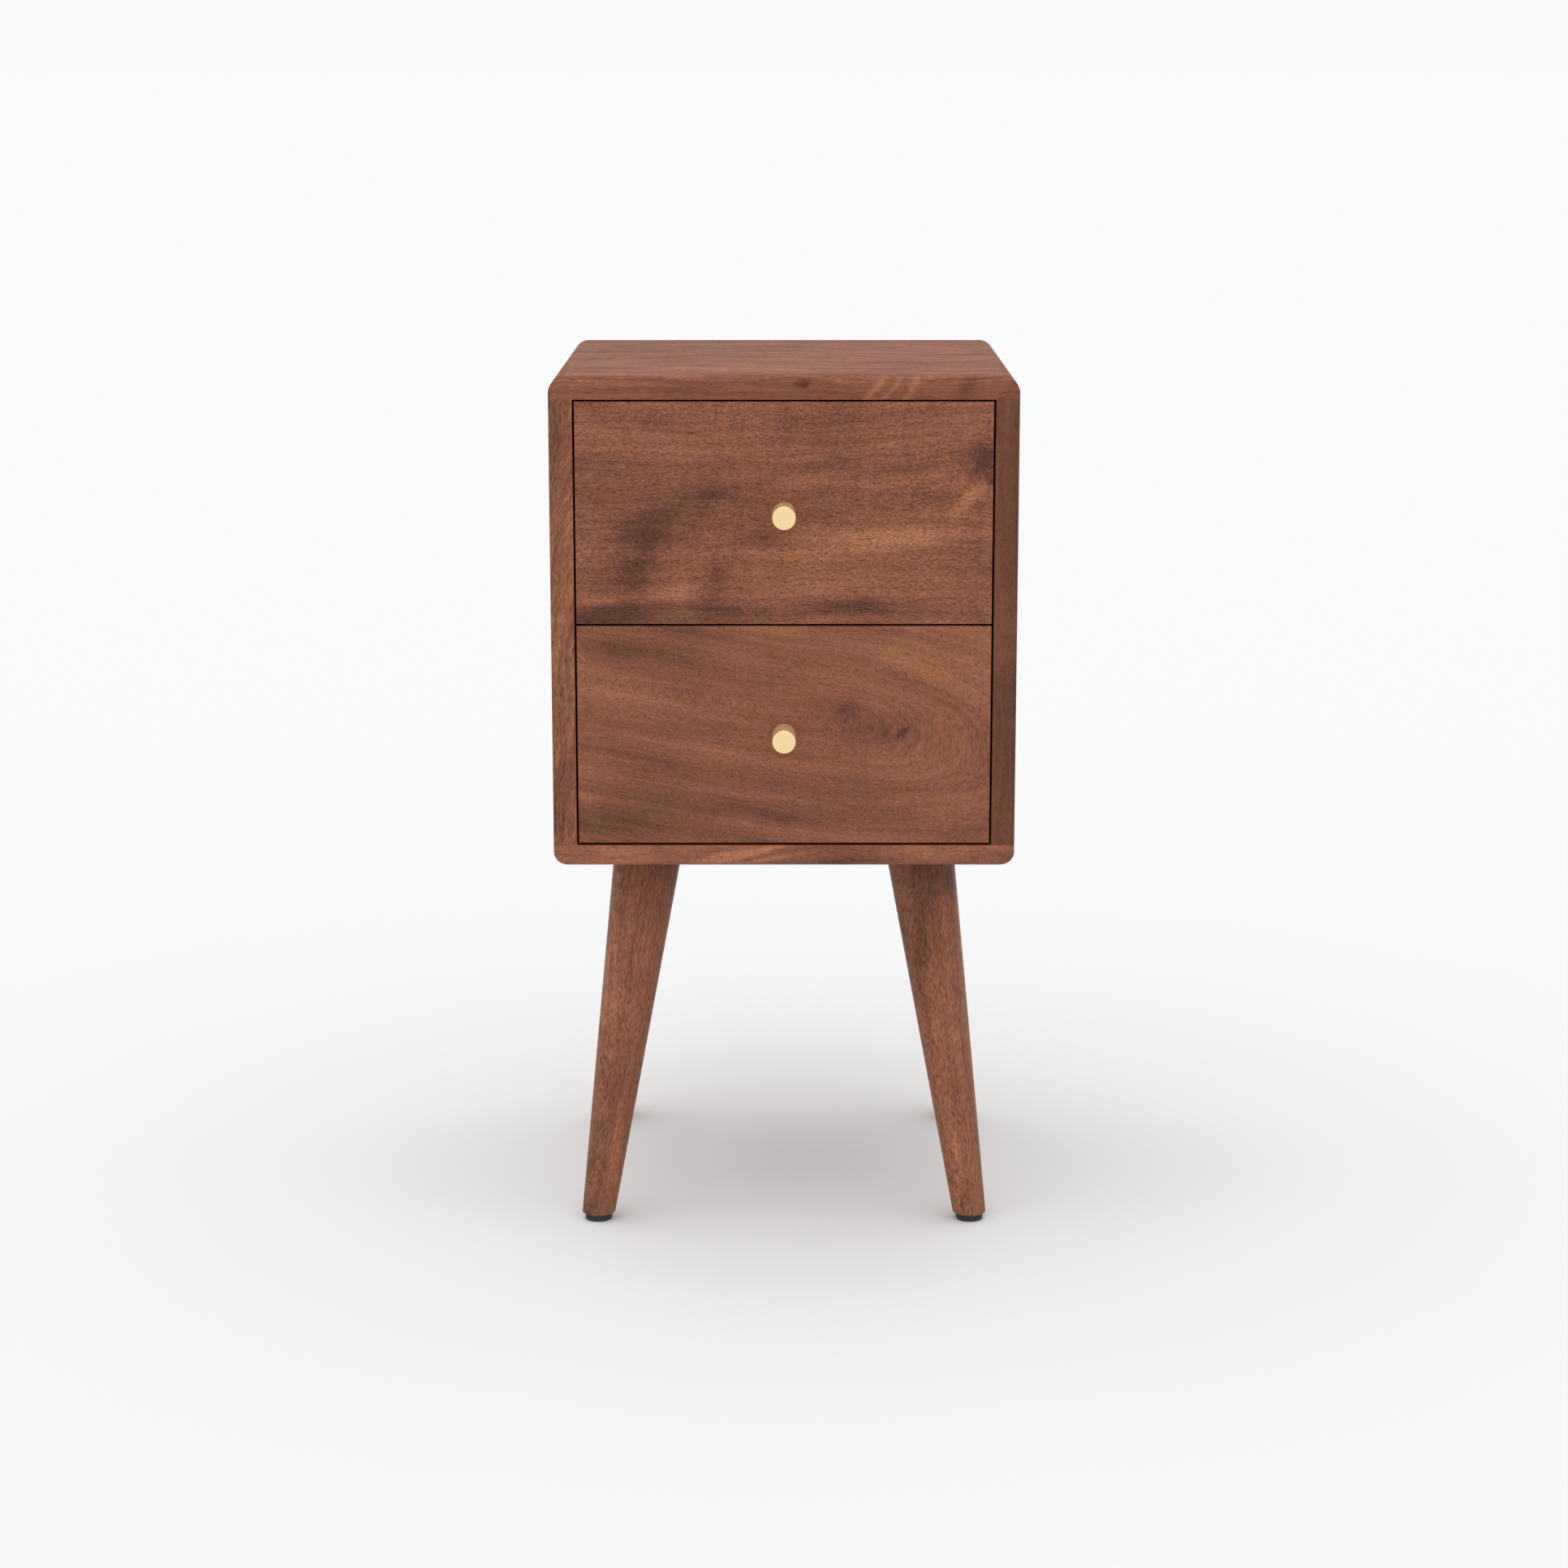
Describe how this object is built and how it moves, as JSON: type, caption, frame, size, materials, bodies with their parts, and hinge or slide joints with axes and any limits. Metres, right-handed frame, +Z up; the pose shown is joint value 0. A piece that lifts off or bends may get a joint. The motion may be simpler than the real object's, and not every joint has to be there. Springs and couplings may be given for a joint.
{
  "type": "nightstand with drawers",
  "caption": "Solid-wood nightstand with rounded case edges, inset drawers on telescopic runners, brass knobs and splayed tapered legs.",
  "frame": {"origin": "on the floor, in the middle of the whole object's width and of its depth, knobs included", "axes": "+Z up; the drawers face -Y and open along -Y; +X is the right of a person who stands in front of them"},
  "size_m": [0.356, 0.385, 0.676],
  "materials": {
    "case_wood": "satin lacquer on warm red-brown solid wood",
    "front_wood": "satin lacquer on figured red-brown solid wood, grain across",
    "leg_wood": "satin lacquer on turned red-brown solid wood, grain along the leg",
    "box_wood": "thin matt lacquer on pale solid wood",
    "panel_wood": "stained matt veneer on thin plywood",
    "dowel_wood": "raw beech",
    "brass": "satin turned brass",
    "zinc_steel": "bright zinc plating",
    "black_plastic": "moulded matt black plastic"
  },
  "bodies": {
    "case": {"top_panel": "case_wood", "bottom_panel": "case_wood", "side_panel_left": "case_wood", "side_panel_right": "case_wood", "back_panel": "panel_wood", "bottom_dowel_front_left": "dowel_wood", "bottom_dowel_front_right": "dowel_wood", "bottom_dowel_rear_left": "dowel_wood", "bottom_dowel_rear_right": "dowel_wood", "top_dowel_front_left": "dowel_wood", "top_dowel_front_right": "dowel_wood", "top_dowel_rear_left": "dowel_wood", "top_dowel_rear_right": "dowel_wood", "leg_front_left": "leg_wood", "leg_plate_front_left": "zinc_steel", "leg_bolt_front_left": "zinc_steel", "foot_glide_front_left": "black_plastic", "leg_front_right": "leg_wood", "leg_plate_front_right": "zinc_steel", "leg_bolt_front_right": "zinc_steel", "foot_glide_front_right": "black_plastic", "leg_rear_left": "leg_wood", "leg_plate_rear_left": "zinc_steel", "leg_bolt_rear_left": "zinc_steel", "foot_glide_rear_left": "black_plastic", "leg_rear_right": "leg_wood", "leg_plate_rear_right": "zinc_steel", "leg_bolt_rear_right": "zinc_steel", "foot_glide_rear_right": "black_plastic", "upper_runner_outer_left": "zinc_steel", "upper_runner_outer_right": "zinc_steel", "lower_runner_outer_left": "zinc_steel", "lower_runner_outer_right": "zinc_steel"},
    "upper_drawer": {"upper_drawer_front": "front_wood", "upper_box_front": "box_wood", "upper_box_rear": "box_wood", "upper_box_side_left": "box_wood", "upper_box_side_right": "box_wood", "upper_box_bottom": "panel_wood", "upper_knob": "brass", "upper_knob_screw": "zinc_steel", "upper_runner_inner_left": "zinc_steel", "upper_runner_inner_right": "zinc_steel"},
    "upper_runner_middle": {"upper_runner_middle_left": "zinc_steel", "upper_runner_middle_right": "zinc_steel"},
    "lower_drawer": {"lower_drawer_front": "front_wood", "lower_box_front": "box_wood", "lower_box_rear": "box_wood", "lower_box_side_left": "box_wood", "lower_box_side_right": "box_wood", "lower_box_bottom": "panel_wood", "lower_knob": "brass", "lower_knob_screw": "zinc_steel", "lower_runner_inner_left": "zinc_steel", "lower_runner_inner_right": "zinc_steel"},
    "lower_runner_middle": {"lower_runner_middle_left": "zinc_steel", "lower_runner_middle_right": "zinc_steel"}
  },
  "joints": [
    {"name": "upper_drawer_slide", "type": "slide", "parent": "case", "child": "upper_drawer", "axis": [0, -1, 0], "range_m": [0, 0.28]},
    {"name": "upper_runner_slide", "type": "slide", "parent": "case", "child": "upper_runner_middle", "axis": [0, -1, 0], "range_m": [0, 0.14]},
    {"name": "lower_drawer_slide", "type": "slide", "parent": "case", "child": "lower_drawer", "axis": [0, -1, 0], "range_m": [0, 0.28]},
    {"name": "lower_runner_slide", "type": "slide", "parent": "case", "child": "lower_runner_middle", "axis": [0, -1, 0], "range_m": [0, 0.14]}
  ],
  "couplings": [
    {"joint": "upper_runner_slide", "follows": "upper_drawer_slide", "ratio": 0.5},
    {"joint": "lower_runner_slide", "follows": "lower_drawer_slide", "ratio": 0.5}
  ]
}
